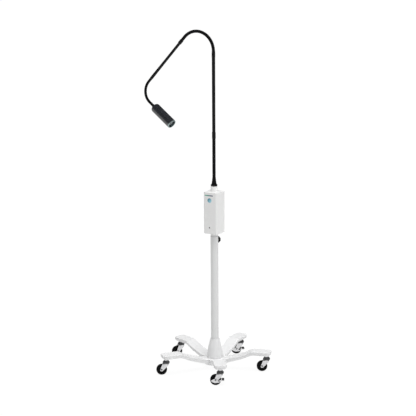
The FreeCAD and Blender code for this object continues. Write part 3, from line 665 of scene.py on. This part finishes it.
def loose(bm, name):
    """A helper object with no finish, in the scene only until it is cut."""
    bmesh.ops.recalc_face_normals(bm, faces=bm.faces)
    mesh = bpy.data.meshes.new(name)
    bm.to_mesh(mesh)
    bm.free()
    obj = bpy.data.objects.new(name, mesh)
    bpy.context.scene.collection.objects.link(obj)
    return obj


def fork_channel():
    """The fork's pressed channel: an upside-down U with bent corners, cut to the cheeks' side outline."""
    section = rounded_outline([(-14, 12, 0.6), (-14, 58.4, 3.2), (14, 58.4, 3.2), (14, 12, 0.6),
                               (12, 12, 0.6), (12, 55.8, 1.4), (-12, 55.8, 1.4), (-12, 12, 0.6)])
    bm = bmesh.new()
    lie = Matrix(((0, 0, 1, -14), (1, 0, 0, 0), (0, 1, 0, 0), (0, 0, 0, 1)))
    plate(bm, section, 46, lie)
    channel = loose(bm, "fork_channel")
    bm = bmesh.new()
    side = rounded_outline([(-12, 61, 0.5), (18, 61, 0.5), (18.4, 55, 5), (30.2, 25.5, 6.6),
                            (20.6, 17.6, 6.4), (-1, 40, 12), (-12, 51, 3)], 8)
    upright_plate(bm, side, -20, 20, Matrix.Identity(4))
    return cut_to(channel, loose(bm, "fork_side"), "INTERSECT")


FORK_CHANNEL = fork_channel()


def fork(name, matrix):
    bm = bmesh.new()
    bm.from_mesh(FORK_CHANNEL)
    bmesh.ops.remove_doubles(bm, verts=bm.verts, dist=0.01)
    bm.transform(matrix)
    crown = [(5.1, 55.7), (14.2, 55.7), (14.9, 56.1), (15, 57), (14.7, 58.1), (14, 58.4), (13.2, 58.9),
             (12.9, 59.4), (11, 64), (9.6, 67), (5.1, 67.1)]
    ring_lathe(bm, crown, matrix, 48)
    for side in (-1, 1):
        boss = [(4.1, FORK_OUT * side), (6.8, FORK_OUT * side), (6.9, 13.2 * side), (4.1, 12.4 * side)]
        ring_lathe(bm, boss, matrix @ placement(AXLE, (0, 1, 0)), 32)
    obj = piece("fork_plate_" + name, bm, "zinc_steel", "fork_" + name, 38)
    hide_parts("caster_fork_" + name)


def axle(name, matrix, grip):
    """A domed rivet head on one side and a hexagon nut on a washer on the other, each with a black plug in
    its middle as painted shade.
    """
    at_axle = matrix @ placement(AXLE, (0, 1, 0))
    bm = bmesh.new()
    rivet = [(0, -grip + 0.4), (4, -grip + 0.4), (4, grip), (6.2, grip), (6.15, grip + 0.5),
             (5.5, grip + 1.3), (4.1, grip + 2), (2.2, grip + 2.4), (0, grip + 2.5)]
    lathe(bm, rivet, at_axle, 40)

    def hexagonal(angle, radius, height):
        local = (angle + SIXTH / 2) % SIXTH - SIXTH / 2
        return min(radius, NUT_HALF_FLATS / math.cos(local)), height

    washer = [(0, -grip), (4.2, -grip), (6.2, -grip), (6.2, -grip - 0.6), (0, -grip - 0.6)]
    lathe(bm, washer, at_axle, 40)
    nut = [(0, -grip - 0.6), (5.3, -grip - 0.6), (5.4, -grip - 1.9), (4.7, -grip - 2.4), (3.2, -grip - 2.4),
           (3.1, -grip - 2.5), (0, -grip - 2.5)]
    lathe(bm, nut, at_axle, 48, hexagonal)
    obj = piece("axle_bolt_" + name, bm, "zinc_steel", "fork_" + name, 30)
    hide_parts("caster_axle_" + name)
    # Black plugs in the middles of the rivet head and of the nut: painted shade that stands in for the dark
    # of a socket recess.
    bm = bmesh.new()
    for side in (-1, 1):
        plug = [(0, side * (grip + 1.8)), (2.3, side * (grip + 1.8)), (2.3, side * (grip + 2.6)),
                (1.9, side * (grip + 2.9)), (0, side * (grip + 3))]
        lathe(bm, plug, at_axle, 24)
    piece("axle_shade_plug_" + name, bm, "black_plastic", "fork_" + name, 30)


def wheel(name, matrix):
    at_axle = matrix @ placement(AXLE, (0, 1, 0), (1, 0, 0))
    half_tyre = [(17.8, 8.9), (18.4, 9.3), (19.8, 9.6), (21, 9.8), (22.8, 9.85), (24, 9.6), (25.1, 8.8),
                 (25.85, 7.6), (26.25, 6.1), (26.45, 4.2), (26.5, 2.4), (26.38, 2.1), (26.38, 1.7),
                 (26.5, 1.4), (26.5, 0.2)]
    bm = bmesh.new()
    ring_lathe(bm, flipped_y(half_tyre), at_axle, 96)
    tyre = piece("tyre_" + name, bm, "wheel_tread", "wheel_" + name, 40)
    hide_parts("wheel_tyre_" + name)

    def spoked(angle, radius, height):
        """Six ribs stand in the recess between the hub and the rim."""
        if not 8.4 < radius < 15.6:
            return radius, height
        across = abs((angle + SIXTH / 2) % SIXTH - SIXTH / 2) * radius
        rib = 1 - smoothstep((across - 1.0) / 0.9)
        side = 1 if height > 0 else -1
        return radius, height + side * rib * 2.6

    half_core = [(4.1, 11.3), (5.2, 11.5), (6.8, 11.5), (7.4, 11.2), (7.7, 10.2), (7.9, 7.2), (8.3, 5.9),
                 (8.8, 5.5), (10.5, 5.3), (12.2, 5.25), (14, 5.3), (15.1, 5.5), (15.55, 5.9), (15.8, 7.4),
                 (16.1, 8.5), (16.6, 8.8), (17.6, 8.85), (17.95, 8.5), (18, 7.9)]
    bm = bmesh.new()
    ring_lathe(bm, flipped_y(half_core), at_axle, 144, spoked)
    core = piece("wheel_disc_" + name, bm, "wheel_core", "wheel_" + name, 40)
    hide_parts("wheel_core_" + name)


def brake_arms():
    """The two side arms, each with a stamped slot, in the caster's own frame."""
    outline = rounded_outline([(44, 27, 2), (30, 34, 5), (17, 34, 6), (7, 29, 6), (-19, 27.5, 1.2),
                               (-19, 24.5, 1), (-5, 23, 6), (9, 15, 8), (26, 13.5, 7), (35, 16, 8),
                               (44, 22, 2)], 5)
    bm = bmesh.new()
    for low, high in ((-LEVER_OUT, -LEVER_IN), (LEVER_IN, LEVER_OUT)):
        upright_plate(bm, outline, low, high, Matrix.Identity(4))
    arms = loose(bm, "arms")
    slot = rounded_outline([(1.5, 21.6, 1.3), (1, 25.8, 1.3), (11.4, 27.4, 1.3), (12.4, 22.4, 1.3)], 5)
    bm = bmesh.new()
    upright_plate(bm, slot, -20, 20, Matrix.Identity(4))
    return cut_to(arms, loose(bm, "slot"), "DIFFERENCE")


BRAKE_ARMS = brake_arms()


def brake(name, matrix):
    """Side arms and a ribbed foot pedal with a rolled front edge."""
    bm = bmesh.new()
    bm.from_mesh(BRAKE_ARMS)
    bmesh.ops.remove_doubles(bm, verts=bm.verts, dist=0.01)
    bm.transform(matrix)
    tread = rounded_outline([(-19, 24.7, 0.9), (-19, 27.3, 0.9), (-16.6, 27.3, 0.9), (-15.4, 26.9, 0.8),
                             (-7.2, 26.9, 0.7), (-7.2, 25, 0.7)], 4)
    upright_plate(bm, tread, -15.7, 15.7, matrix)
    obj = piece("brake_arm_" + name, bm, "zinc_steel", "brake_" + name, 32, bevel=0.00025)
    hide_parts("brake_lever_" + name)
    bm = bmesh.new()
    pad = rounded_outline([(PEDAL_END_X, 26.8, 0.4), (PEDAL_END_X, PAD_TOP_Z, 0.9), (-6.4, 30.4, 0.9),
                           (-6.4, 26.4, 0.4)], 4)
    upright_plate(bm, pad, -13.6, 13.6, matrix)
    for x in (-16.4, -14.2, -12, -9.8):
        top = PAD_TOP_Z + (x - PEDAL_END_X) / 12.2
        rib = rounded_outline([(x - 0.5, top - 0.6, 0.1), (x - 0.5, top + 0.6, 0.3),
                               (x + 0.5, top + 0.6, 0.3), (x + 0.5, top - 0.6, 0.1)], 3)
        upright_plate(bm, rib, -12.6, 12.6, matrix)
    piece("pedal_pad_" + name, bm, "black_plastic", "brake_" + name, 32, bevel=0.0002)


def swivel_caps():
    """The dust caps over the swivel bearings, each a shallow cone over a skirt with a groove between them."""
    profile = [(5, 73), (10.6, 73), (11.5, 72.2), (15.2, 68.4), (15.5, 67.6), (14.6, 67.2), (14.6, 65.9),
               (17, 65.6), (17.4, 65), (17.4, 59.2), (17, 58.9), (16.2, 58.9), (16, 59.5), (16, 63.8),
               (13, 65.2), (9.5, 70.8), (5, 70.8)]
    bm = bmesh.new()
    for name in CASTERS:
        ring_lathe(bm, profile, caster_frame(name), 64)
    finish = moulded("cap_plastic", (0.085, 0.085, 0.088), 0.3, 1600, 0.2, 0.7, 0.5)
    obj = piece("swivel_caps", bm, "black_plastic", "base", 35, finish)
    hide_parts("raceway_caps")


swivel_caps()
for caster in CASTERS:
    place = caster_frame(caster)
    braked = caster in BRAKED
    fork(caster, place)
    axle(caster, place, BRAKED_GRIP if braked else FORK_OUT)
    wheel(caster, place)
    if braked:
        brake(caster, place)


# ---------------------------------------------------------------- stage, light and camera

FLOOR_R = 70
FLOOR_TONES = (0.078, 0.078, 0.078), (0.082, 0.082, 0.082)
FLOOR_GLOW = 0.925
FILL, BACKDROP = 0.12, 1.0


def soft_sun(name, direction, strength, angle_deg):
    """An even light with very soft shadows and no mirror image. direction points towards it."""
    light = bpy.data.lights.new(name, "SUN")
    light.energy = strength
    light.angle = math.radians(angle_deg)
    obj = bpy.data.objects.new(name, light)
    bpy.context.scene.collection.objects.link(obj)
    obj.rotation_mode = "QUATERNION"
    obj.rotation_quaternion = Vector(direction).to_track_quat("Z", "Y")
    obj.visible_glossy = False


def floor():
    """A pale sheet lit from behind as on a light table, so that shadows on it stay faint."""
    material = new_material("studio_floor", FLOOR_TONES[0], 0.9, specular=0.05)
    shader = material.node_tree.nodes["Principled BSDF"]
    shader.inputs["Emission Color"].default_value = (1, 1, 1, 1)
    shader.inputs["Emission Strength"].default_value = FLOOR_GLOW
    cloudy(material, noise(material, 3, 3), *FLOOR_TONES)
    bm = bmesh.new()
    bmesh.ops.create_circle(bm, cap_ends=True, segments=96, radius=FLOOR_R)
    mesh = bpy.data.meshes.new("studio_floor")
    bm.to_mesh(mesh)
    bm.free()
    obj = bpy.data.objects.new("studio_floor", mesh)
    bpy.context.scene.collection.objects.link(obj)
    mesh.materials.append(material)


def studio():
    """A white backdrop, which lights the object only weakly, and two soft lights."""
    world = bpy.data.worlds.new("studio")
    bpy.context.scene.world = world
    world.use_nodes = True
    nodes, links = world.node_tree.nodes, world.node_tree.links
    fill = nodes["Background"]
    fill.inputs["Color"].default_value = (1, 1, 1, 1)
    fill.inputs["Strength"].default_value = FILL
    backdrop = nodes.new("ShaderNodeBackground")
    backdrop.inputs["Color"].default_value = (1, 1, 1, 1)
    backdrop.inputs["Strength"].default_value = BACKDROP
    chosen = nodes.new("ShaderNodeMixShader")
    links.new(nodes.new("ShaderNodeLightPath").outputs["Is Camera Ray"], chosen.inputs["Fac"])
    links.new(fill.outputs["Background"], chosen.inputs[1])
    links.new(backdrop.outputs["Background"], chosen.inputs[2])
    links.new(chosen.outputs["Shader"], nodes["World Output"].inputs["Surface"])
    soft_sun("overhead", (0.03, -0.06, 1), 3.1, 60)
    soft_sun("key", (0.80, -0.30, 0.55), 0.942, 50)


def camera():
    """Stands in front of the object and above it, all of it turned about the object's own axis."""
    turn, yaw, pitch, roll = (math.radians(a) for a in (30.48, -0.273, 11.90, -0.344))
    distance, height = 6.366, 2.157
    forward = Vector((math.sin(yaw) * math.cos(pitch), math.cos(yaw) * math.cos(pitch), -math.sin(pitch)))
    right = Vector((math.cos(yaw), -math.sin(yaw), 0))
    up = right.cross(forward)
    right, up = (math.cos(roll) * right + math.sin(roll) * up,
                 math.cos(roll) * up - math.sin(roll) * right)
    basis = Matrix((right, up, -forward)).transposed().to_4x4()
    basis.translation = Vector((0, -distance, height))
    data = bpy.data.cameras.new("camera")
    data.sensor_width = 36
    data.lens = 115.27
    data.clip_end = 200
    obj = bpy.data.objects.new("camera", data)
    bpy.context.scene.collection.objects.link(obj)
    obj.matrix_world = Matrix.Rotation(turn, 4, "Z") @ basis
    bpy.context.scene.camera = obj


floor()
studio()
camera()
bpy.context.scene.view_settings.view_transform = "Standard"
